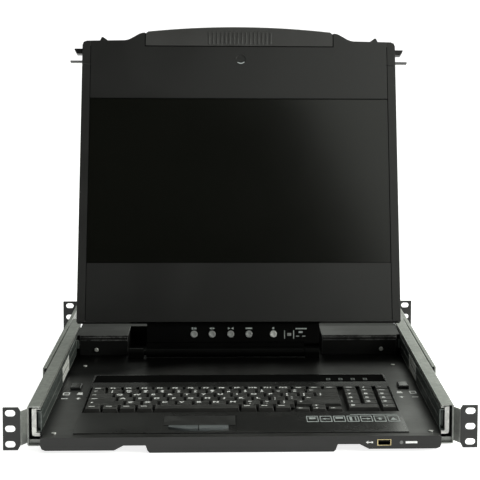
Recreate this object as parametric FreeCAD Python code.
# One-unit rackmount LCD console drawer, built as separate pieces in millimetres.
# X is to the right, Y runs back into the rack, Z is up. The origin is the middle of
# the front ears' four outer slots, on the face that meets the rack.
import FreeCAD, Part
import math
import os

os.makedirs("parts", exist_ok=True)
V = FreeCAD.Vector

# ---------------------------------------------------------------- driving sizes
# rack interface
SLOT_SPACING_X = 465.1        # between slot columns of a 19 inch rack
SLOT_SPACING_Z = 31.75        # first to third hole of one rack unit
SLOT_LENGTH = 10.3
SLOT_RADIUS = 3.35
EAR_HALF_SPAN = 240.0         # outer edge of each front ear
EAR_HEIGHT = 43.8
EAR_THICKNESS = 2.0
EAR_INNER_X = 222.5           # inner edge of each front ear
REAR_EAR_Y = 633.0            # mounting face of the rear ears, as set here
REAR_EAR_HALF_SPAN = 241.5

# rails
RAIL_OUTER_X = 217.0
RAIL_WALL = 1.5
RAIL_LIP_X = 203.6            # inner edge of the rail's top and bottom lips
RAIL_TOP_Z = 20.5
RAIL_BOTTOM_Z = -20.8
RAIL_FRONT_Y = 10.0
RAIL_REAR_Y = 505.0
RAIL_BEND_R = 2.0
FLARE_TOP_Z = 17.2            # height of the flared front end that carries the ear
FLARE_BOTTOM_Z = -17.5
FOOT_TAB_HEIGHT = 6.2
FOOT_TAB_Y = 14.0
CHANNEL_OUTER_X = 222.2       # rear channel, outside the rail
CHANNEL_WALL = 1.5
CHANNEL_FRONT_Y = 200.0
DEPTH_SHORTEN = 60.0          # how far the rear channels push in
DEPTH_LENGTHEN = 120.0        # and pull out
STUD_R = 2.0
STUD_YS = (360.0, 470.0)
NUT_FLATS = 7.0
NUT_HEIGHT = 3.2

# telescopic slides, three members a side
SLIDE_MID_Z = 4.0
SLIDE_WALL = 1.2
SLIDE_OUTER_X = 212.4
SLIDE_INNER_X = 202.4         # the face that bolts to the tray
SLIDE_OUTER_HALF = 14.8
SLIDE_STEP = 2.0              # each member's half height is this much less
SLIDE_FRONT_Y = 12.0
SLIDE_OUTER_LENGTH = 488.0
SLIDE_MIDDLE_LENGTH = 470.0
SLIDE_INNER_LENGTH = 460.0
HOOK_R = 4.0
HOOK_CLEARANCE = 0.3
SLIDE_TIP_X = 207.4
END_PLATE_Y = 20.0
MOUNT_FLANGE_Z = -16.6        # lower edge of the inner member's bolting flange

COVER_TAB_Y = 396.4
COVER_TAB_LOW_Z = 2.5
COVER_TAB_TOP_Z = 13.0

# tray
FLOOR_Z = -6.0
SHEET = 1.2
TRAY_WALL = 1.4
TRAY_FRONT_Y = -4.0
TRAY_REAR_Y = 492.0
TRAY_BASE_Z = -19.6
COVER_BASE_Z = -20.8
COVER_START_Y = 11.0          # the tray is shallower ahead of this, for fingers
TRAY_NOSE_Z = -14.0
TRAY_LIP_Z = -4.6             # side walls rise a little past the floor

# front panel
PANEL_FRONT_Y = -15.0
PANEL_HALF_X = 201.4
PANEL_WALL = 2.4
PANEL_MIDDLE_Z = -22.0
PANEL_SIDE_Z = -19.4
PANEL_NOTCH_Z = -14.5
PANEL_MIDDLE_X = 94.5
PANEL_NOTCH_IN_X = 96.5
PANEL_NOTCH_OUT_X = 118.5
PANEL_SLOPE_X = 128.0
USB_X = 143.4
USB_Z = -12.7
USB_WIDTH = 14.0
USB_HEIGHT = 6.2
LED_X = 160.8
LED_Z = -12.8
LED_R = 1.8

# keyboard
KB_HALF_X = 170.0
KB_FRONT_Y = -2.0
KB_REAR_Y = 275.0
KB_TOP_Z = -4.8
KB_SKIRT_Z = -14.0
KB_SKIRT_WALL = 1.3
WELL_FRONT_Y = 86.0
WELL_REAR_Y = 209.0
BED_TOP_Z = -9.2
BED_THICKNESS = 1.2
KEY_PITCH = 18.5
KEY_GAP = 1.3
KEY_TOP_Z = -2.4
KEY_BASE_Z = -7.0
KEY_TAPER = 1.7
KEY_TRAVEL = 2.0
KEY_STEM = 4.0
STEM_CLEARANCE = 0.1
KEYS_LEFT_X = -167.6
SPACE_ROW_Y = 103.2
FUNCTION_ROW_DEPTH = 12.4
NUMPAD_LEFT_X = 113.9
NUMPAD_PITCH = 18.2
NUMPAD_GAP = 2.8
WINDOW_FRONT_Y = 233.5
WINDOW_REAR_Y = 271.5

# touchpad
PAD_LEFT_X = -82.0
PAD_RIGHT_X = -5.0
PAD_RECESS_FRONT_Y = 3.0
PAD_RECESS_REAR_Y = 73.0
PAD_RECESS_DEPTH = 0.7
TOUCH_BUTTON_TOP_Z = -3.3
TOUCH_BUTTON_TRAVEL = 1.0

# release buttons beside the keyboard
RELEASE_X = 185.5
RELEASE_FRONT_Y = 199.0
RELEASE_LENGTH = 22.0
RELEASE_WIDTH = 12.0
RELEASE_TOP_Z = -2.2
RELEASE_TRAVEL = 6.0

# hinge covers and rear box
COVER_FRONT_Y = 396.0
COVER_REAR_Y = 463.5
COVER_TOP_Z = 18.3
COVER_WALL = 1.5
LEFT_COVER_X = (-198.0, -138.6)
RIGHT_COVER_X = (103.0, 197.0)
WING_FRONT_Y = 403.0
WING_OUTER_X = 202.0
WING_LOW_Z = -4.4
REAR_BOX_HALF_X = 202.0

# lid: a local frame with x across, y back from its front face, z up from its lower edge
LID_LEAN = 18.2               # degrees past upright when open
LID_EDGE_Y = 393.5            # lower front edge of the open lid
LID_EDGE_Z = 36.4
LID_HALF_X = 202.0
LID_DEPTH = 19.5
LID_LENGTH = 365.0
LID_CLOSED_Z = 2.0            # height of the front face when shut
LID_WALL = 1.6
LID_HINGE_Z = 0.3             # height of the hinge axis
BEZEL_DEPTH = 3.0
SCREEN_HALF_X = 190.9
SCREEN_LOW_S = 74.6
SCREEN_HIGH_S = 288.0
TRIM_INNER_X = 191.4
TRIM_DEPTH = 2.0
HANDLE_HALF_X = 121.0
HANDLE_LOW_S = 358.7
HANDLE_END_S = 376.3
HANDLE_TOP_S = 384.9
RIB_COUNT = 16
RIB_PITCH = 5.3
DIMPLE_X = 2.0
DIMPLE_S = 341.0
DIMPLE_R = 6.2

# latches on the lid's sides
KNOB_TIP_X = 212.4
TONGUE_TIP_X = 217.3
LATCH_TRAVEL = 8.0
KNOB_LOW_S = 348.2
KNOB_HIGH_S = 355.2
TONGUE_S = 338.3
TONGUE_THICKNESS = 1.6
TRIM_SLOT_S = 333.2           # seam between the two pieces of each side trim

# on-screen-display bar under the lid
OSD_LEFT_X = -115.0
OSD_RIGHT_X = 100.0
OSD_FACE_DEPTH = 8.5
OSD_LOW_S = -24.0
OSD_ROW_S = -14.5
OSD_BUTTON_XS = (-56.5, -34.0, -10.8, 11.9)
POWER_BUTTON_X = 42.4
OSD_BUTTON_R = 4.4
OSD_TRAVEL = 1.2
SWITCH_X = 62.2
BARREL_R = 5.5
PIN_R = 3.0
PIN_CLEARANCE = 0.05

# ---------------------------------------------------------------- worked-out sizes
SLOT_X = SLOT_SPACING_X / 2
SLOT_Z = SLOT_SPACING_Z / 2
LEAN = math.radians(LID_LEAN)
# The axis lies HINGE_BACK behind the lid's front plane and HINGE_DROP below its edge,
# so that a turn from the open lean lays the front face at LID_CLOSED_Z.
HINGE_BACK = LID_CLOSED_Z - LID_HINGE_Z
HINGE_DROP = (LID_EDGE_Z - LID_HINGE_Z + HINGE_BACK * math.sin(LEAN)) / math.cos(LEAN)
HINGE_Y = LID_EDGE_Y - HINGE_BACK * math.cos(LEAN) - HINGE_DROP * math.sin(LEAN)
print("hinge axis y %.3f z %.3f" % (HINGE_Y, LID_HINGE_Z))
print("closed lid rear edge y %.2f, handle tip y %.2f"
      % (HINGE_Y - HINGE_DROP, HINGE_Y - HINGE_DROP - HANDLE_TOP_S))


# ---------------------------------------------------------------- helpers
def box(x0, x1, y0, y1, z0, z1):
    return Part.makeBox(x1 - x0, y1 - y0, z1 - z0, V(x0, y0, z0))


def rod(x, y, z, radius, length, axis):
    return Part.makeCylinder(radius, length, V(x, y, z), axis)


def prism(points, direction):
    """Extrude a closed polygon of 3-D points."""
    wire = Part.makePolygon(points + [points[0]])
    return Part.Face(wire).extrude(direction)


def prism_along_x(points, x0, x1):
    return prism([V(x0, y, z) for y, z in points], V(x1 - x0, 0, 0))


def prism_along_y(points, y0, y1):
    return prism([V(x, y0, z) for x, z in points], V(0, y1 - y0, 0))


def prism_along_z(points, z0, z1):
    return prism([V(x, y, z0) for x, y in points], V(0, 0, z1 - z0))


def join(shapes):
    joined = shapes[0]
    for shape in shapes[1:]:
        joined = joined.fuse(shape)
    return joined.removeSplitter()


def cut(shape, tools):
    for tool in tools:
        shape = shape.cut(tool)
    return shape


def group(shapes):
    return Part.makeCompound(shapes)


def mirrored(shape):
    return shape.mirror(V(0, 0, 0), V(1, 0, 0))


def on_lid(shape):
    """Carry a shape from the lid's own frame to its open place."""
    turned = shape.copy()
    turned.rotate(V(0, 0, 0), V(1, 0, 0), -LID_LEAN)
    turned.translate(V(0, LID_EDGE_Y, LID_EDGE_Z))
    return turned


def save(name, shape):
    assert shape.isValid(), name
    print("%-24s %3d solid %10.0f mm3" % (name, len(shape.Solids), shape.Volume))
    shape.exportStep("parts/%s.step" % name)


def save_pair(name, right_shape):
    save(name + "_right", right_shape)
    save(name + "_left", mirrored(right_shape))


def slot_along_x(x, z, y0, y1):
    """A slot tool through a plate that faces Y."""
    half = SLOT_LENGTH / 2 - SLOT_RADIUS
    middle = box(x - half, x + half, y0, y1, z - SLOT_RADIUS, z + SLOT_RADIUS)
    ends = [rod(x + side * half, y0, z, SLOT_RADIUS, y1 - y0, V(0, 1, 0)) for side in (-1, 1)]
    return join([middle] + ends)


def c_channel(back_x, tip_x, low_z, high_z, wall, y0, y1, bend):
    """A C section along Y with its web at back_x and its lips reaching tip_x."""
    outer = box(min(back_x, tip_x), max(back_x, tip_x), y0, y1, low_z, high_z)
    edges = [e for e in outer.Edges
             if abs(e.Vertexes[0].X - back_x) < 1e-6 and abs(e.Vertexes[1].X - back_x) < 1e-6
             and abs(e.Vertexes[0].Z - e.Vertexes[1].Z) < 1e-6]
    outer = outer.makeFillet(bend, edges)
    inward = wall if tip_x > back_x else -wall
    hollow_a = back_x + inward
    hollow_b = tip_x + inward * 10
    hollow = box(min(hollow_a, hollow_b), max(hollow_a, hollow_b), y0 - 1, y1 + 1,
                 low_z + wall, high_z - wall)
    return outer.cut(hollow)


# ---------------------------------------------------------------- rack ears and rails
def ear(outer_x, inner_x, y0, y1):
    half = EAR_HEIGHT / 2
    outline = [(outer_x, -half), (outer_x, half), (inner_x + 2.0, half), (inner_x, half - 3.4),
               (inner_x, -half + 4.6), (inner_x + 2.6, -half)]
    plate = prism_along_y(outline, y0, y1)
    slots = [slot_along_x(SLOT_X, z, y0 - 1, y1 + 1) for z in (-SLOT_Z, 0, SLOT_Z)]
    return cut(plate, slots)


save_pair("front_ear", ear(EAR_HALF_SPAN, EAR_INNER_X, -EAR_THICKNESS, 0))

rail_body = c_channel(RAIL_OUTER_X, RAIL_LIP_X, RAIL_BOTTOM_Z, RAIL_TOP_Z, RAIL_WALL,
                      RAIL_FRONT_Y, RAIL_REAR_Y, RAIL_BEND_R)
# The web's front end flares outward to a tab behind the ear plate.
flare_outline = [(RAIL_OUTER_X - RAIL_WALL, RAIL_FRONT_Y + 4), (RAIL_OUTER_X - RAIL_WALL, RAIL_FRONT_Y + 2),
                 (RAIL_OUTER_X + 0.2, RAIL_FRONT_Y), (EAR_INNER_X - 0.6, 0), (EAR_INNER_X + 2.3, 0),
                 (EAR_INNER_X + 2.3, 1.5), (EAR_INNER_X + 0.6, 1.5),
                 (RAIL_OUTER_X + 1.5, RAIL_FRONT_Y + 0.8),
                 (RAIL_OUTER_X, RAIL_FRONT_Y + 4)]
flare = prism_along_z(flare_outline, FLARE_BOTTOM_Z, FLARE_TOP_Z)
# A folded tab closes the foot of the rail's mouth.
foot_tab = box(RAIL_LIP_X + 0.6, RAIL_OUTER_X - 0.8, FOOT_TAB_Y, FOOT_TAB_Y + 1.2,
               RAIL_BOTTOM_Z + 0.5, RAIL_BOTTOM_Z + FOOT_TAB_HEIGHT)
stud_holes = [rod(RAIL_OUTER_X - RAIL_WALL - 1, y, 0, STUD_R, RAIL_WALL + 2, V(1, 0, 0)) for y in STUD_YS]
save_pair("rail", cut(join([rail_body, flare, foot_tab]), stud_holes))


# Studs fixed in the rail pass through a long slot in the rear channel; their nuts lock it.
def clamp_set(y):
    stud = rod(RAIL_OUTER_X - RAIL_WALL, y, 0, STUD_R, CHANNEL_OUTER_X + 5.0 - RAIL_OUTER_X, V(1, 0, 0))
    corner = NUT_FLATS / math.sqrt(3)
    angles = [math.radians(60 * k) for k in range(6)]
    hexagon = [V(CHANNEL_OUTER_X + 0.05, y + corner * math.cos(a), corner * math.sin(a)) for a in angles]
    nut = prism(hexagon, V(NUT_HEIGHT, 0, 0))
    return join([stud, nut])


clamps = [clamp_set(y) for y in STUD_YS]
save("depth_clamp_studs", group(clamps + [mirrored(c) for c in clamps]))

channel = c_channel(CHANNEL_OUTER_X, RAIL_OUTER_X + 0.3, RAIL_BOTTOM_Z, RAIL_TOP_Z, CHANNEL_WALL,
                    CHANNEL_FRONT_Y, REAR_EAR_Y - EAR_THICKNESS, RAIL_BEND_R)
slot_start = STUD_YS[0] - DEPTH_LENGTHEN - STUD_R - 1
slot_end = STUD_YS[1] + DEPTH_SHORTEN + STUD_R + 1
slot_half = STUD_R + 0.3
channel_slot = box(CHANNEL_OUTER_X - 3, CHANNEL_OUTER_X + 1, slot_start, slot_end, -slot_half, slot_half)
save_pair("rear_channel", channel.cut(channel_slot))
save_pair("rear_ear", ear(REAR_EAR_HALF_SPAN, RAIL_OUTER_X + 1.0, REAR_EAR_Y - EAR_THICKNESS, REAR_EAR_Y))


# ---------------------------------------------------------------- slides
def slide_member(back_x, tip_x, level, y0, length):
    half = SLIDE_OUTER_HALF - SLIDE_STEP * level
    return c_channel(back_x, tip_x, SLIDE_MID_Z - half, SLIDE_MID_Z + half, SLIDE_WALL,
                     y0, y0 + length, SLIDE_WALL)


slide_outer = slide_member(SLIDE_OUTER_X, 204.8, 0, SLIDE_FRONT_Y, SLIDE_OUTER_LENGTH)
bosses = [rod(SLIDE_OUTER_X - 0.2, y, SLIDE_MID_Z, 5.0, RAIL_OUTER_X - RAIL_WALL - SLIDE_OUTER_X + 0.2,
              V(1, 0, 0))
          for y in (60.0, 250.0, 440.0)]


def hooked_end():
    """The middle member's thick J-shaped end, which runs in front of the outer member."""
    y0, y1 = SLIDE_FRONT_Y - 1.6, SLIDE_FRONT_Y - 0.1
    low, high = SLIDE_MID_Z - SLIDE_OUTER_HALF, SLIDE_MID_Z + SLIDE_OUTER_HALF - 1.2
    # The inner member's mounting flange passes beside the hook, clear of it.
    block = box(SLIDE_INNER_X + SLIDE_WALL + HOOK_CLEARANCE, SLIDE_OUTER_X, y0, y1, low, high)
    corner = [e for e in block.Edges
              if all(abs(v.X - SLIDE_OUTER_X) < 1e-6 and abs(v.Z - low) < 1e-6 for v in e.Vertexes)]
    block = block.makeFillet(HOOK_R, corner)
    opening = box(SLIDE_INNER_X - 1, SLIDE_TIP_X + HOOK_CLEARANCE, y0 - 1, y1 + 1,
                  SLIDE_MID_Z - SLIDE_OUTER_HALF + 2 * SLIDE_STEP - HOOK_CLEARANCE, high + 1)
    neck = box(209.8 - SLIDE_WALL, 209.8, y1 - 0.1, SLIDE_FRONT_Y + 2.2, SLIDE_MID_Z - 8.0, SLIDE_MID_Z + 8.0)
    return join([block.cut(opening), neck])


save_pair("slide_outer", join([slide_outer] + bosses))

slide_middle = slide_member(209.8, 204.2, 1, SLIDE_FRONT_Y + 2, SLIDE_MIDDLE_LENGTH)
save_pair("slide_middle", join([slide_middle, hooked_end()]))

slide_inner = slide_member(SLIDE_INNER_X, SLIDE_TIP_X, 2, SLIDE_FRONT_Y, SLIDE_INNER_LENGTH)
flange = box(SLIDE_INNER_X, SLIDE_INNER_X + SLIDE_WALL, SLIDE_FRONT_Y + 6,
             SLIDE_FRONT_Y + SLIDE_INNER_LENGTH,
             MOUNT_FLANGE_Z, SLIDE_MID_Z)
# A plate closes the front end, and a bent tab near the hinge stops the drawer's covers.
end_plate = box(SLIDE_INNER_X, SLIDE_TIP_X, END_PLATE_Y, END_PLATE_Y + SLIDE_WALL,
                SLIDE_MID_Z - SLIDE_OUTER_HALF + 2 * SLIDE_STEP + 1.0,
                SLIDE_MID_Z + SLIDE_OUTER_HALF - 2 * SLIDE_STEP - 1.0)
cover_tab = box(SLIDE_INNER_X - 3.4, SLIDE_INNER_X + 0.6, COVER_TAB_Y, COVER_TAB_Y + SLIDE_WALL,
                COVER_TAB_LOW_Z, COVER_TAB_TOP_Z)
save_pair("slide_inner", join([slide_inner, flange, end_plate, cover_tab]))

# A leaf spring riveted to each inner member's face, in two strips.
spring_leaf = [box(SLIDE_INNER_X - 0.3, SLIDE_INNER_X, 224.0, 298.0, low, low + 7.4) for low in (-2.6, 6.6)]
spring_tie = box(SLIDE_INNER_X - 0.35, SLIDE_INNER_X, 290.0, 298.0, -2.6, 14.0)
spring = join(spring_leaf + [spring_tie])
save("slide_stop_springs", group([spring, mirrored(spring)]))

# ---------------------------------------------------------------- tray
tray_floor = box(-SLIDE_INNER_X, SLIDE_INNER_X, TRAY_FRONT_Y, TRAY_REAR_Y, FLOOR_Z - SHEET, FLOOR_Z)
side_wall = prism_along_x([(TRAY_FRONT_Y, TRAY_LIP_Z), (TRAY_REAR_Y, TRAY_LIP_Z),
                           (TRAY_REAR_Y, TRAY_BASE_Z),
                           (COVER_START_Y, TRAY_BASE_Z), (COVER_START_Y - 4.0, TRAY_NOSE_Z),
                           (TRAY_FRONT_Y, TRAY_NOSE_Z)],
                          SLIDE_INNER_X - TRAY_WALL, SLIDE_INNER_X)
nose_wall = box(-SLIDE_INNER_X, SLIDE_INNER_X, TRAY_FRONT_Y, TRAY_FRONT_Y + SHEET, TRAY_NOSE_Z, FLOOR_Z)
usb_clearance = box(USB_X - USB_WIDTH / 2 - 0.5, USB_X + USB_WIDTH / 2 + 0.5, TRAY_FRONT_Y - 1,
                    TRAY_FRONT_Y + 3,
                    TRAY_NOSE_Z - 3, USB_Z + USB_HEIGHT / 2 + 0.5)
touch_clearance = box(PAD_LEFT_X, PAD_RIGHT_X, 6.0, 14.0, FLOOR_Z - 5, FLOOR_Z + 5)
back_wall = box(-SLIDE_INNER_X, SLIDE_INNER_X, TRAY_REAR_Y - TRAY_WALL, TRAY_REAR_Y, TRAY_BASE_Z, FLOOR_Z)
keyboard_hole = box(-KB_HALF_X - 0.3, KB_HALF_X + 0.3, 13.5, 262.5, FLOOR_Z - 5, FLOOR_Z + 5)
release_slots = [box(side * RELEASE_X - 4.3, side * RELEASE_X + 4.3, RELEASE_FRONT_Y + 5.7,
                     RELEASE_FRONT_Y + RELEASE_LENGTH - 5.7 + RELEASE_TRAVEL, FLOOR_Z - 5, FLOOR_Z + 5)
                 for side in (-1, 1)]
FLOOR_SCREWS = [(-189.5, 1.5), (192.6, 1.5), (-186.0, 330.0), (186.0, 330.0)]
floor_holes = [rod(x, y, FLOOR_Z - 3, 1.6, 6, V(0, 0, 1)) for x, y in FLOOR_SCREWS]
tray = join([tray_floor, side_wall, mirrored(side_wall), nose_wall, back_wall])
save("tray", cut(tray, [keyboard_hole, touch_clearance, usb_clearance] + release_slots + floor_holes))
cover_plate = box(-SLIDE_INNER_X, SLIDE_INNER_X, COVER_START_Y, TRAY_REAR_Y, COVER_BASE_Z, TRAY_BASE_Z)
inside_x = SLIDE_INNER_X - TRAY_WALL
cover_nose = box(-inside_x, inside_x, COVER_START_Y, COVER_START_Y + SHEET, TRAY_BASE_Z, FLOOR_Z - SHEET)
nose_gap = box(PAD_LEFT_X, PAD_RIGHT_X, COVER_START_Y - 1, COVER_START_Y + 3, KB_SKIRT_Z, FLOOR_Z)
save("bottom_cover", join([cover_plate, cover_nose.cut(nose_gap)]))


def panel_outline(inset):
    """The front panel's outline, with its wavy lower edge, drawn in by inset."""
    half = [(PANEL_MIDDLE_X - 2.0 - inset, PANEL_MIDDLE_Z + inset),
            (PANEL_MIDDLE_X - inset, PANEL_MIDDLE_Z + 2.0 + inset),
            (PANEL_NOTCH_IN_X - inset, PANEL_NOTCH_Z + inset),
            (PANEL_NOTCH_OUT_X + inset, PANEL_NOTCH_Z + inset),
            (PANEL_SLOPE_X + inset, PANEL_SIDE_Z + inset),
            (PANEL_HALF_X - 5.0 - inset, PANEL_SIDE_Z + inset),
            (PANEL_HALF_X - 1.4 - inset, PANEL_SIDE_Z + 1.4 + inset),
            (PANEL_HALF_X - inset, PANEL_SIDE_Z + 5.0 + inset),
            (PANEL_HALF_X - inset, FLOOR_Z - 1.6 - inset), (PANEL_HALF_X - 1.6 - inset, FLOOR_Z - inset)]
    return half + [(-x, z) for x, z in reversed(half)]


panel = prism_along_y(panel_outline(0), PANEL_FRONT_Y, TRAY_FRONT_Y)
panel_hollow = prism_along_y(panel_outline(PANEL_WALL), PANEL_FRONT_Y + PANEL_WALL, TRAY_FRONT_Y + 1)
usb_hole = box(USB_X - USB_WIDTH / 2 - 0.1, USB_X + USB_WIDTH / 2 + 0.1, PANEL_FRONT_Y - 1,
               TRAY_FRONT_Y + 1,
               USB_Z - USB_HEIGHT / 2 - 0.1, USB_Z + USB_HEIGHT / 2 + 0.1)
led_hole = rod(LED_X, PANEL_FRONT_Y - 1, LED_Z, LED_R, PANEL_WALL + 2, V(0, 1, 0))
save("front_panel", cut(panel, [panel_hollow, usb_hole, led_hole]))

usb_outer = box(USB_X - USB_WIDTH / 2, USB_X + USB_WIDTH / 2, PANEL_FRONT_Y - 0.3, 0.0,
                USB_Z - USB_HEIGHT / 2, USB_Z + USB_HEIGHT / 2)
usb_inner = box(USB_X - 6.25, USB_X + 6.25, PANEL_FRONT_Y - 1, -3.0, USB_Z - 2.55, USB_Z + 2.55)
usb_tongue = box(USB_X - 5.6, USB_X + 5.6, PANEL_FRONT_Y + 0.8, -3.0, USB_Z + 0.2, USB_Z + 2.0)
save("usb_port", join([usb_outer.cut(usb_inner), usb_tongue]))
led_dome = rod(LED_X, PANEL_FRONT_Y - 0.4, LED_Z, LED_R, 6.4, V(0, 1, 0))
led_base = rod(LED_X, PANEL_FRONT_Y + PANEL_WALL, LED_Z, LED_R + 0.8, 3.6, V(0, 1, 0))
save("status_led", join([led_dome, led_base]))

# ---------------------------------------------------------------- keyboard
kb_plate = box(-KB_HALF_X, KB_HALF_X, KB_FRONT_Y, KB_REAR_Y, FLOOR_Z, KB_TOP_Z)
skirt_outer = box(-KB_HALF_X, KB_HALF_X, 14.0, 262.0, KB_SKIRT_Z, FLOOR_Z)
skirt_inner = box(-KB_HALF_X + KB_SKIRT_WALL, KB_HALF_X - KB_SKIRT_WALL, 14.0 + KB_SKIRT_WALL,
                  262.0 - KB_SKIRT_WALL,
                  KB_SKIRT_Z - 1, FLOOR_Z + 0.01)
well = box(-KB_HALF_X + KB_SKIRT_WALL, KB_HALF_X - KB_SKIRT_WALL, WELL_FRONT_Y, WELL_REAR_Y, KB_SKIRT_Z,
           KB_TOP_Z + 1)
window_seat = prism_along_z([(-168.4, WINDOW_FRONT_Y), (168.4, WINDOW_FRONT_Y), (167.4, WINDOW_REAR_Y),
                             (-167.4, WINDOW_REAR_Y)], KB_TOP_Z - 0.6, KB_TOP_Z + 1)
pad_recess = box(PAD_LEFT_X, PAD_RIGHT_X, PAD_RECESS_FRONT_Y, PAD_RECESS_REAR_Y,
                 KB_TOP_Z - PAD_RECESS_DEPTH, KB_TOP_Z + 1)


def touch_button(sign, grow, z0, z1):
    """Half of the boat-shaped pair of buttons; sign +1 is the right half."""
    middle_x = (PAD_LEFT_X + PAD_RIGHT_X) / 2 - 0.7
    inner = middle_x + sign * (0.5 - grow)
    outer = middle_x + sign * (30.6 + grow)
    rear = 23.0 + grow
    wire_points = [V(inner, rear, z0), V(outer, rear, z0), V(outer, 17.0 - grow, z0),
                   V(inner, 8.5 - grow, z0)]
    bow = Part.Arc(wire_points[2], V((inner + outer) / 2 + sign * 1.5, 10.9 - grow, z0),
                   wire_points[3]).toShape()
    edges = [Part.makeLine(wire_points[0], wire_points[1]),
             Part.makeLine(wire_points[1], wire_points[2]), bow,
             Part.makeLine(wire_points[3], wire_points[0])]
    return Part.Face(Part.Wire(edges)).extrude(V(0, 0, z1 - z0))


button_wells = [touch_button(sign, 0.3, FLOOR_Z - 1, KB_TOP_Z + 1) for sign in (-1, 1)]
kb_panel = join([kb_plate, skirt_outer.cut(skirt_inner)])
kb_panel = cut(kb_panel, [well, window_seat, pad_recess] + button_wells)
# A ledge under the touch buttons carries them.
button_ledge = box(PAD_LEFT_X, PAD_RIGHT_X, 14.0, 26.0, FLOOR_Z - 3.0, FLOOR_Z - 1.8)
ledge_legs = [box(x - 1.5, x + 1.5, 14.0, 26.0, FLOOR_Z - 3.0, FLOOR_Z)
              for x in (PAD_LEFT_X + 1.5, PAD_RIGHT_X - 1.5)]
save("keyboard_panel", join([kb_panel, button_ledge] + ledge_legs))

save("window_strip", prism_along_z([(-168.3, WINDOW_FRONT_Y + 0.1), (168.3, WINDOW_FRONT_Y + 0.1),
                                    (167.3, WINDOW_REAR_Y - 0.1), (-167.3, WINDOW_REAR_Y - 0.1)],
                                   KB_TOP_Z - 0.6, KB_TOP_Z + 0.1))
save("touchpad", box(PAD_LEFT_X + 1.5, PAD_RIGHT_X - 1.5, 30.0, PAD_RECESS_REAR_Y - 1.5,
                     KB_TOP_Z - PAD_RECESS_DEPTH, KB_TOP_Z - 0.25))
for side_name, sign in (("left", -1), ("right", 1)):
    cap = touch_button(sign, 0.0, FLOOR_Z, TOUCH_BUTTON_TOP_Z)
    save("touch_button_" + side_name, cap)


def key(x0, x1, y0, y1):
    """A tapered key cap on a square stem; x and y are its share of the layout."""
    x0, x1 = x0 + KEY_GAP / 2, x1 - KEY_GAP / 2
    y0, y1 = y0 + KEY_GAP / 2, y1 - KEY_GAP / 2
    low = [V(x0, y0, KEY_BASE_Z), V(x1, y0, KEY_BASE_Z), V(x1, y1, KEY_BASE_Z), V(x0, y1, KEY_BASE_Z)]
    t = KEY_TAPER
    high = [V(x0 + t, y0 + t * 0.7, KEY_TOP_Z), V(x1 - t, y0 + t * 0.7, KEY_TOP_Z),
            V(x1 - t, y1 - t * 0.5, KEY_TOP_Z), V(x0 + t, y1 - t * 0.5, KEY_TOP_Z)]
    cap = Part.makeLoft([Part.makePolygon(low + [low[0]]), Part.makePolygon(high + [high[0]])], True, True)
    mid_x, mid_y = (x0 + x1) / 2, (y0 + y1) / 2
    stem = box(mid_x - KEY_STEM / 2, mid_x + KEY_STEM / 2, mid_y - KEY_STEM / 2, mid_y + KEY_STEM / 2,
               BED_TOP_Z - BED_THICKNESS - 0.2, KEY_BASE_Z + 0.5)
    return cap.fuse(stem), (mid_x, mid_y)


stem_places = []


def key_row(left_x, middle_y, depth, widths):
    """A row of keys side by side; widths are in millimetres."""
    keys = []
    x = left_x
    for width in widths:
        cap, place = key(x, x + width, middle_y - depth / 2, middle_y + depth / 2)
        keys.append(cap)
        stem_places.append(place)
        x += width
    return keys


U = KEY_PITCH
ROW_YS = [SPACE_ROW_Y + U * k for k in range(5)]      # space, lower, home, upper, number rows
FUNCTION_ROW_Y = ROW_YS[4] + U / 2 + FUNCTION_ROW_DEPTH / 2 + 1.0
function_keys = key_row(KEYS_LEFT_X, FUNCTION_ROW_Y, FUNCTION_ROW_DEPTH, [15 * U / 16] * 16)
typing_keys = key_row(KEYS_LEFT_X, ROW_YS[4], U, [U] * 13 + [2 * U])
typing_keys += key_row(KEYS_LEFT_X, ROW_YS[3], U, [1.5 * U] + [U] * 12 + [1.5 * U])
typing_keys += key_row(KEYS_LEFT_X, ROW_YS[2], U, [1.75 * U] + [U] * 11 + [2.25 * U])
typing_keys += key_row(KEYS_LEFT_X, ROW_YS[1], U, [2.25 * U] + [U] * 10 + [2.75 * U])
space_keys = key_row(KEYS_LEFT_X, SPACE_ROW_Y, U, [U] * 4 + [5 * U] + [U] * 3)
ARROW_DEPTH = 12.4
arrow_left_x = KEYS_LEFT_X + 12.15 * U
arrow_keys = key_row(arrow_left_x, SPACE_ROW_Y - 9.6, ARROW_DEPTH, [0.95 * U] * 3)
arrow_keys += key_row(arrow_left_x + 0.95 * U, SPACE_ROW_Y + 2.9, ARROW_DEPTH, [0.95 * U])


def numpad_row(middle_y, depth, widths):
    keys = []
    x = NUMPAD_LEFT_X
    for width in widths:
        cap, place = key(x + NUMPAD_GAP / 2 - KEY_GAP / 2, x + width - NUMPAD_GAP / 2 + KEY_GAP / 2,
                         middle_y - depth / 2, middle_y + depth / 2)
        keys.append(cap)
        stem_places.append(place)
        x += width
    return keys


numpad_keys = numpad_row(FUNCTION_ROW_Y, FUNCTION_ROW_DEPTH, [NUMPAD_PITCH] * 3)
for row_y in ROW_YS[1:]:
    numpad_keys += numpad_row(row_y, U, [NUMPAD_PITCH] * 3)
numpad_keys += numpad_row(ROW_YS[0], U, [2 * NUMPAD_PITCH, NUMPAD_PITCH])
save("function_keys", group(function_keys))
save("typing_keys", group(typing_keys))
save("space_row_keys", group(space_keys))
save("arrow_keys", group(arrow_keys))
save("numpad_keys", group(numpad_keys))

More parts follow.
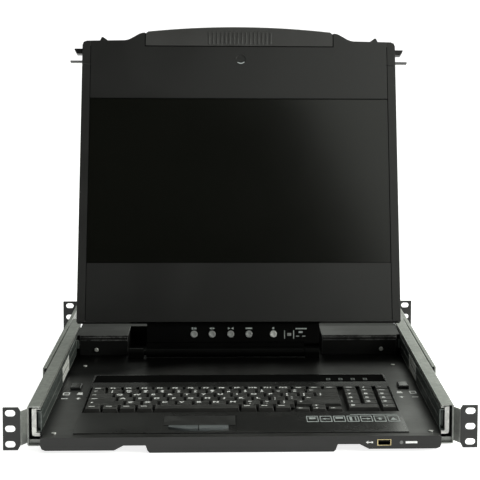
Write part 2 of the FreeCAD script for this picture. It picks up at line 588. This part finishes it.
bed = box(-KB_HALF_X + KB_SKIRT_WALL, KB_HALF_X - KB_SKIRT_WALL, WELL_FRONT_Y, WELL_REAR_Y + 4,
          BED_TOP_Z - BED_THICKNESS, BED_TOP_Z)
reach = KEY_STEM / 2 + STEM_CLEARANCE
stem_holes = [box(x - reach, x + reach, y - reach, y + reach, BED_TOP_Z - 3, BED_TOP_Z + 1)
              for x, y in stem_places]
save("key_bed", bed.cut(Part.makeCompound(stem_holes)))


# ---------------------------------------------------------------- release buttons
def release_button(x):
    y0, y1 = RELEASE_FRONT_Y, RELEASE_FRONT_Y + RELEASE_LENGTH
    half = RELEASE_WIDTH / 2
    cap = box(x - half, x + half, y0, y1, FLOOR_Z + 0.05, RELEASE_TOP_Z)
    top_edges = [e for e in cap.Edges if min(v.Z for v in e.Vertexes) > RELEASE_TOP_Z - 1e-6]
    cap = cap.makeChamfer(0.9, top_edges)
    neck = box(x - 4.0, x + 4.0, y0 + 6, y1 - 6, FLOOR_Z - SHEET - 0.1, FLOOR_Z + 0.1)
    foot = box(x - 6.0, x + 6.0, y0 + 4, y1 - 4, FLOOR_Z - SHEET - 1.3, FLOOR_Z - SHEET - 0.05)
    return join([cap, neck, foot])


save("release_button_right", release_button(RELEASE_X))
save("release_button_left", release_button(-RELEASE_X))


# ---------------------------------------------------------------- hinge covers, rear box
def hinge_cover(x0, x1):
    # A raised lip runs along the top front edge, with a narrow groove behind it.
    top, front = COVER_TOP_Z, COVER_FRONT_Y
    outline = [(front, FLOOR_Z), (front, top - 5.6), (front - 0.9, top - 4.9), (front - 0.9, top - 1.8),
               (front - 0.4, top - 1.0), (front + 0.9, top - 0.8), (front + 1.0, top - 1.6),
               (front + 1.9, top - 1.6),
               (front + 2.0, top), (COVER_REAR_Y, top), (COVER_REAR_Y, FLOOR_Z)]
    shell = prism_along_x(outline, x0, x1)
    hollow = box(x0 + COVER_WALL, x1 - COVER_WALL, COVER_FRONT_Y + COVER_WALL + 2.0, COVER_REAR_Y + 1,
                 FLOOR_Z - 1, COVER_TOP_Z - COVER_WALL)
    # A wing behind the front corner reaches out towards the rail.
    wing_in, wing_out = (x0, -WING_OUTER_X) if x0 < 0 else (x1, WING_OUTER_X)
    wing = box(min(wing_in, wing_out), max(wing_in, wing_out), WING_FRONT_Y, COVER_REAR_Y, WING_LOW_Z,
               COVER_TOP_Z)
    return join([shell.cut(hollow), wing])


COVER_SCREW_Z = 1.0
COVER_SCREW_X = 177.5
cover_hole = rod(COVER_SCREW_X, COVER_FRONT_Y - 1, COVER_SCREW_Z, 1.6, 6, V(0, 1, 0))
save("hinge_cover_right", hinge_cover(*RIGHT_COVER_X).cut(cover_hole))
save("hinge_cover_left", hinge_cover(*LEFT_COVER_X).cut(mirrored(cover_hole)))

rear_outer = box(-REAR_BOX_HALF_X, REAR_BOX_HALF_X, COVER_REAR_Y, TRAY_REAR_Y, FLOOR_Z, COVER_TOP_Z)
rear_inner = box(-REAR_BOX_HALF_X + COVER_WALL, REAR_BOX_HALF_X - COVER_WALL, COVER_REAR_Y + COVER_WALL,
                 TRAY_REAR_Y - COVER_WALL, FLOOR_Z - 1, COVER_TOP_Z - COVER_WALL)
PORT_Z = 6.0
KVM_X = 120.0
INLET_X = -120.0
kvm_hole = box(KVM_X - 12.5, KVM_X + 12.5, TRAY_REAR_Y - 4, TRAY_REAR_Y + 1, PORT_Z - 5.5, PORT_Z + 5.5)
inlet_hole = rod(INLET_X, TRAY_REAR_Y - 4, PORT_Z, 4.6, 6, V(0, 1, 0))
# The side walls stop above the tray's lips.
lip_room = box(198.0, 210.0, COVER_REAR_Y - 1, TRAY_REAR_Y + 1, FLOOR_Z - 1, WING_LOW_Z)
save("rear_box", cut(rear_outer.cut(rear_inner), [kvm_hole, inlet_hole, lip_room, mirrored(lip_room)]))

# The console port: a D-shaped shell on a flange, and a round power inlet.
kvm_shell = prism_along_y([(KVM_X - 8.3, PORT_Z - 4.0), (KVM_X + 8.3, PORT_Z - 4.0),
                           (KVM_X + 9.6, PORT_Z + 4.0),
                           (KVM_X - 9.6, PORT_Z + 4.0)], TRAY_REAR_Y - 8, TRAY_REAR_Y + 6)
kvm_socket = prism_along_y([(KVM_X - 7.4, PORT_Z - 3.2), (KVM_X + 7.4, PORT_Z - 3.2),
                            (KVM_X + 8.6, PORT_Z + 3.2),
                            (KVM_X - 8.6, PORT_Z + 3.2)], TRAY_REAR_Y, TRAY_REAR_Y + 7)
kvm_flange = box(KVM_X - 12.4, KVM_X + 12.4, TRAY_REAR_Y - COVER_WALL, TRAY_REAR_Y, PORT_Z - 5.4,
                 PORT_Z + 5.4)
kvm_posts = [rod(KVM_X + side * 11.4, TRAY_REAR_Y - 1, PORT_Z, 0.9, 6, V(0, 1, 0)) for side in (-1, 1)]
save("kvm_port", join([kvm_shell.cut(kvm_socket), kvm_flange.cut(kvm_shell)] + kvm_posts))
inlet = rod(INLET_X, TRAY_REAR_Y - 12, PORT_Z, 4.5, 14, V(0, 1, 0))
inlet_bore = rod(INLET_X, TRAY_REAR_Y - 8, PORT_Z, 3.2, 12, V(0, 1, 0))
inlet_pin = rod(INLET_X, TRAY_REAR_Y - 9, PORT_Z, 1.0, 9, V(0, 1, 0))
save("power_inlet", join([inlet.cut(inlet_bore), inlet_pin]))
board = box(-150, 150, 300, 440, TRAY_BASE_Z + 3.0, TRAY_BASE_Z + 4.6)
board_posts = [rod(x, y, TRAY_BASE_Z, 2.5, 3.0, V(0, 0, 1)) for x in (-144, 144) for y in (306, 434)]
save("main_board", join([board] + board_posts))

# ---------------------------------------------------------------- hinge brackets and screws
BRACKET_SPANS = ((-137.0, -118.0), (81.0, 99.0))
bracket_shapes = []
for x0, x1 in BRACKET_SPANS:
    cheek = prism_along_x([(HINGE_Y - BARREL_R, FLOOR_Z), (HINGE_Y + 22, FLOOR_Z),
                           (HINGE_Y + 22, FLOOR_Z + 2.0),
                           (HINGE_Y + BARREL_R, FLOOR_Z + 2.0), (HINGE_Y + BARREL_R, LID_HINGE_Z),
                           (HINGE_Y - BARREL_R, LID_HINGE_Z)], x0, x1)
    knuckle = rod(x0, HINGE_Y, LID_HINGE_Z, BARREL_R, x1 - x0, V(1, 0, 0))
    bore = rod(x0 - 1, HINGE_Y, LID_HINGE_Z, PIN_R + PIN_CLEARANCE, x1 - x0 + 2, V(1, 0, 0))
    bracket_shapes.append(join([cheek, knuckle]).cut(bore))
save("hinge_brackets", group(bracket_shapes))


def pan_head(x, y, z, axis, radius=2.9, height=1.6, shank=3.2):
    """A screw with a low domed head standing on a face; axis points out of it."""
    head = Part.makeCylinder(radius, height, V(x, y, z), axis)
    rim = [e for e in head.Edges if hasattr(e.Curve, "Radius")
           and abs((e.CenterOfMass - V(x, y, z)).dot(axis) - height) < 1e-6]
    head = head.makeFillet(height * 0.45, rim)
    body = Part.makeCylinder(1.5, shank, V(x, y, z) - V(axis.x, axis.y, axis.z) * shank, axis)
    return head.fuse(body)


screws = [pan_head(x, y, FLOOR_Z, V(0, 0, 1), 2.6, 1.2, 3.0) for x, y in FLOOR_SCREWS]
for side in (-1, 1):
    screws.append(pan_head(side * COVER_SCREW_X, COVER_FRONT_Y, COVER_SCREW_Z, V(0, -1, 0), 2.6, 1.6, 3.2))
save("tray_screws", group(screws))


# ---------------------------------------------------------------- lid
def lid_outline(inset, handle_gap=0.3):
    """The lid's outline in its own x and s; the middle is notched for the handle."""
    low = inset
    right = [(LID_HALF_X - inset, low), (LID_HALF_X - inset, LID_LENGTH - 5.5 - inset * 0.4),
             (LID_HALF_X - 1.6 - inset, LID_LENGTH - 1.6 - inset * 0.8),
             (LID_HALF_X - 5.5 - inset * 0.4, LID_LENGTH - inset),
             (148.0, LID_LENGTH + 0.9 - inset), (143.9, LID_LENGTH + 1.7 - inset),
             (140.2, LID_LENGTH + 3.2 - inset),
             (132.6, LID_LENGTH + 7.7 - inset), (129.0, LID_LENGTH + 9.8 - inset),
             (125.5, LID_LENGTH + 11.0 - inset),
             (HANDLE_HALF_X + handle_gap + inset, HANDLE_END_S - inset),
             (HANDLE_HALF_X + handle_gap + inset, HANDLE_LOW_S - handle_gap + 0.1 - inset)]
    return right + [(-x, s) for x, s in reversed(right)]


def lid_prism(points, y0, y1):
    return prism_along_y(points, y0, y1)


shell_solid = lid_prism(lid_outline(0), BEZEL_DEPTH, LID_DEPTH)
back_edges = [e for e in shell_solid.Edges if min(v.Y for v in e.Vertexes) > LID_DEPTH - 1e-6]
shell_solid = shell_solid.makeChamfer(1.4, back_edges)
shell_hollow = lid_prism(lid_outline(LID_WALL), BEZEL_DEPTH - 1, LID_DEPTH - LID_WALL)
knob_window = box(LID_HALF_X - 3, LID_HALF_X + 3, BEZEL_DEPTH, 12.3, KNOB_LOW_S - 0.3, KNOB_HIGH_S + 0.3)
tongue_window = box(LID_HALF_X - 3, LID_HALF_X + 3, BEZEL_DEPTH, 11.4, TONGUE_S - 1.1, TONGUE_S + 1.1)
handle_mouth = box(-HANDLE_HALF_X + 4, HANDLE_HALF_X - 4, BEZEL_DEPTH + 2, LID_DEPTH - 4,
                   HANDLE_LOW_S - 4, HANDLE_LOW_S + 1)
back_panel = box(-176, 176, LID_DEPTH - 0.5, LID_DEPTH + 1, 40, 330)
chin_mouth = box(OSD_LEFT_X + 3, OSD_RIGHT_X - 3, OSD_FACE_DEPTH + 2, LID_DEPTH - 3, -1, LID_WALL + 1)
LID_SCREWS = [(-186.0, 20.0), (0.0, 20.0), (186.0, 20.0), (-172.0, 345.0), (0.0, 345.0), (172.0, 345.0)]
shell_bosses = [rod(x, BEZEL_DEPTH, s, 3.6, LID_DEPTH - BEZEL_DEPTH - 1.0, V(0, 1, 0))
                for x, s in LID_SCREWS]
shell = join([shell_solid.cut(shell_hollow)] + shell_bosses)
bump = [(-181.0, LID_LENGTH - 0.8), (-177.8, LID_LENGTH + 6.2), (-176.0, LID_LENGTH + 6.3),
        (-166.6, LID_LENGTH - 0.6)]
bumps = [lid_prism(bump, 4.0, 12.0)]
bumps.append(mirrored(bumps[0]))
shell = join([shell] + bumps)
windows = [knob_window, tongue_window, mirrored(knob_window), mirrored(tongue_window), handle_mouth,
           back_panel, chin_mouth]
screw_holes = [rod(x, LID_DEPTH - 9, s, 1.6, 12, V(0, 1, 0)) for x, s in LID_SCREWS]
shell = cut(shell, windows + screw_holes)
save("lid_rear_shell", on_lid(shell))

lid_screws = [pan_head(x, LID_DEPTH, s, V(0, 1, 0), 2.8, 0.6, 6.0) for x, s in LID_SCREWS]
save("lid_screws", on_lid(group(lid_screws)))

# Front: an upper and a lower field joined by side legs that the trims cover.
fields = lid_prism(lid_outline(0, 1.0), 0, BEZEL_DEPTH)
beside = box(TRIM_INNER_X - 0.1, LID_HALF_X + 5, -1, TRIM_DEPTH, -1, LID_LENGTH + 20)
screen_hole = box(-186.5, 186.5, -1, BEZEL_DEPTH + 1, SCREEN_LOW_S + 3, SCREEN_HIGH_S - 3)
screen_seat = box(-SCREEN_HALF_X, SCREEN_HALF_X, -1, TRIM_DEPTH, SCREEN_LOW_S, SCREEN_HIGH_S)
dimple = rod(DIMPLE_X, -1, DIMPLE_S, DIMPLE_R, 1 + 1.4, V(0, 1, 0))
trim_slot = box(190.0, LID_HALF_X + 1, -1, 0.9, TRIM_SLOT_S - 0.5, TRIM_SLOT_S + 0.5)
bezel = cut(fields, [beside, mirrored(beside), screen_hole, screen_seat, dimple, trim_slot,
                     mirrored(trim_slot)])
save("lid_front_bezel", on_lid(bezel))


def trim():
    points = [(TRIM_INNER_X, 0.0), (LID_HALF_X, 0.0), (LID_HALF_X, LID_LENGTH - 5.5),
              (LID_HALF_X - 1.6, LID_LENGTH - 1.6),
              (LID_HALF_X - 5.5, LID_LENGTH), (TRIM_INNER_X, LID_LENGTH + 0.15)]
    return lid_prism(points, 0, TRIM_DEPTH).cut(trim_slot)


save("lid_side_trims", on_lid(group([trim(), mirrored(trim())])))
save("display_glass", on_lid(box(-SCREEN_HALF_X, SCREEN_HALF_X, 0.9, TRIM_DEPTH, SCREEN_LOW_S,
                                 SCREEN_HIGH_S)))
lcd_body = box(-185.5, 185.5, TRIM_DEPTH, 9.5, SCREEN_LOW_S + 4, SCREEN_HIGH_S - 4)
lcd_feet = [box(x - 5, x + 5, 9.5, LID_DEPTH - LID_WALL, s - 5, s + 5) for x in (-170,
                                                                                 170) for s in (95.0,
                                                                                                270.0)]
save("lcd_module", on_lid(join([lcd_body] + lcd_feet)))


# Handle: an arched grip, hollow underneath, ribbed in the middle.
def handle_prism(inset, y0, y1):
    x_end = HANDLE_HALF_X - inset
    end_s = HANDLE_END_S - 0.6 - inset
    top = Part.Arc(V(x_end - 3.0, y0, end_s + 2.6), V(0, y0, HANDLE_TOP_S - inset),
                   V(-x_end + 3.0, y0, end_s + 2.6)).toShape()
    corners = [V(-x_end + 3.0, y0, end_s + 2.6), V(-x_end, y0, end_s), V(-x_end, y0, HANDLE_LOW_S),
               V(x_end, y0, HANDLE_LOW_S),
               V(x_end, y0, end_s), V(x_end - 3.0, y0, end_s + 2.6)]
    lines = [Part.makeLine(a, b) for a, b in zip(corners, corners[1:])]
    return Part.Face(Part.Wire([top] + lines)).extrude(V(0, y1 - y0, 0))


handle = handle_prism(0, 0.0, LID_DEPTH)
rim_edges = [e for e in handle.Edges if min(v.Z for v in e.Vertexes) > HANDLE_END_S - 2
             and (max(v.Y for v in e.Vertexes) < 1e-6 or min(v.Y for v in e.Vertexes) > LID_DEPTH - 1e-6)]
handle = handle.makeChamfer(1.2, rim_edges)
handle_hollow = handle_prism(2.4, 2.4, LID_DEPTH - 2.4)
handle_open = box(-HANDLE_HALF_X + 4, HANDLE_HALF_X - 4, 5.0, LID_DEPTH - 4, HANDLE_LOW_S - 1,
                  HANDLE_LOW_S + 3)
ribs = [box(x - 1.0, x + 1.0, -0.7, 0.3, 361.5, 377.0) for x in
        [0.6 + RIB_PITCH * (k - (RIB_COUNT - 1) / 2) for k in range(RIB_COUNT)]]
handle = cut(handle, [handle_hollow, handle_open])
save("lid_handle", on_lid(join([handle] + ribs)))

# ---------------------------------------------------------------- latches
knob_outline = [(LID_HALF_X - 9.8, KNOB_LOW_S), (KNOB_TIP_X - 3.4, KNOB_LOW_S),
                (KNOB_TIP_X, KNOB_HIGH_S - 1.2),
                (KNOB_TIP_X, KNOB_HIGH_S), (LID_HALF_X - 9.8, KNOB_HIGH_S)]
knob = lid_prism(knob_outline, BEZEL_DEPTH + 0.1, 12.0)
tongue_low = TONGUE_S - TONGUE_THICKNESS / 2
tongue = join([box(LID_HALF_X - 11.8, TONGUE_TIP_X, BEZEL_DEPTH + 0.1, 11.0, tongue_low,
                   tongue_low + TONGUE_THICKNESS),
               box(LID_HALF_X - 11.8, LID_HALF_X - 9.8, BEZEL_DEPTH + 0.1, 11.0, tongue_low,
                   KNOB_HIGH_S - 1)])
save_pair("latch", on_lid(join([knob, tongue])))

# ---------------------------------------------------------------- display controls
AXIS_D = -HINGE_BACK          # the hinge axis in the lid's frame
AXIS_S = -HINGE_DROP
bar = box(OSD_LEFT_X, OSD_RIGHT_X, OSD_FACE_DEPTH, LID_DEPTH, OSD_LOW_S, 0)
bar_hollow = box(OSD_LEFT_X + 1.5, OSD_RIGHT_X - 1.5, OSD_FACE_DEPTH + 1.5, LID_DEPTH - 1.5,
                 OSD_LOW_S + 1.5, 1)
knuckle_right_x = BRACKET_SPANS[1][0] - 0.5
knuckle_side = [(AXIS_D + BARREL_R, AXIS_S), (AXIS_D - BARREL_R * 0.7, AXIS_S), (-3.4, -33.3), (0.7, -30.7),
                (0.2, OSD_LOW_S - 1.6), (-1.0, OSD_LOW_S - 1.2), (-1.0, OSD_LOW_S), (LID_DEPTH, OSD_LOW_S),
                (LID_DEPTH - 1.0, -31.0), (8.0, -35.0)]
knuckle_body = prism_along_x(knuckle_side, OSD_LEFT_X, knuckle_right_x)
barrel = rod(OSD_LEFT_X, AXIS_D, AXIS_S, BARREL_R, knuckle_right_x - OSD_LEFT_X, V(1, 0, 0))
lip = box(knuckle_right_x - 1, OSD_RIGHT_X, 4.0, LID_DEPTH, OSD_LOW_S - 2.0, OSD_LOW_S)
pin_socket = rod(OSD_LEFT_X - 1, AXIS_D, AXIS_S, PIN_R, 16.0, V(1, 0, 0))
pin_socket_right = rod(knuckle_right_x - 15.0, AXIS_D, AXIS_S, PIN_R, 16.0, V(1, 0, 0))
button_holes = [rod(x, 0, OSD_ROW_S, OSD_BUTTON_R + 0.25, OSD_FACE_DEPTH + 4, V(0, 1, 0))
                for x in OSD_BUTTON_XS + (POWER_BUTTON_X,)]
switch_hole = box(SWITCH_X - 5.0, SWITCH_X + 5.0, 0, OSD_FACE_DEPTH + 1.6, -19.4, -7.0)
housing = join([bar.cut(bar_hollow), knuckle_body, barrel, lip])
housing = cut(housing, [pin_socket, pin_socket_right, switch_hole] + button_holes)
save("osd_housing", on_lid(housing))
pins = [rod(BRACKET_SPANS[0][0], AXIS_D, AXIS_S, PIN_R, OSD_LEFT_X + 14.0 - BRACKET_SPANS[0][0],
            V(1, 0, 0)),
        rod(knuckle_right_x - 14.0, AXIS_D, AXIS_S, PIN_R, BRACKET_SPANS[1][1] - knuckle_right_x + 14.0,
            V(1, 0, 0))]
save("hinge_pins", on_lid(group(pins)))


def osd_button(x):
    stem = rod(x, OSD_FACE_DEPTH - 1.8, OSD_ROW_S, OSD_BUTTON_R, 5.0, V(0, 1, 0))
    rim = [e for e in stem.Edges if hasattr(e.Curve, "Radius")
           and abs(e.CenterOfMass.y - (OSD_FACE_DEPTH - 1.8)) < 1e-6]
    stem = stem.makeFillet(0.6, rim)
    dish = Part.makeSphere(6.0, V(x, OSD_FACE_DEPTH - 1.8 - 5.4, OSD_ROW_S))
    return stem.cut(dish)


for number, x in enumerate(OSD_BUTTON_XS, 1):
    save("osd_button_%d" % number, on_lid(osd_button(x)))
save("display_power_button", on_lid(osd_button(POWER_BUTTON_X)))

# A slide switch: a frame with a slot, and a thumb that rides in it.
switch_frame = box(SWITCH_X - 5.0, SWITCH_X + 5.0, OSD_FACE_DEPTH - 0.5, OSD_FACE_DEPTH + 1.5, -19.4, -7.0)
switch_slot = box(SWITCH_X - 2.5, SWITCH_X + 2.5, OSD_FACE_DEPTH - 1, OSD_FACE_DEPTH + 0.5, -17.8, -8.6)
switch_thumb = box(SWITCH_X - 2.4, SWITCH_X + 2.4, OSD_FACE_DEPTH - 1.3, OSD_FACE_DEPTH + 0.45, -17.0,
                   -13.4)
save("input_switch_frame", on_lid(switch_frame.cut(switch_slot)))
save("input_switch_thumb", on_lid(switch_thumb))
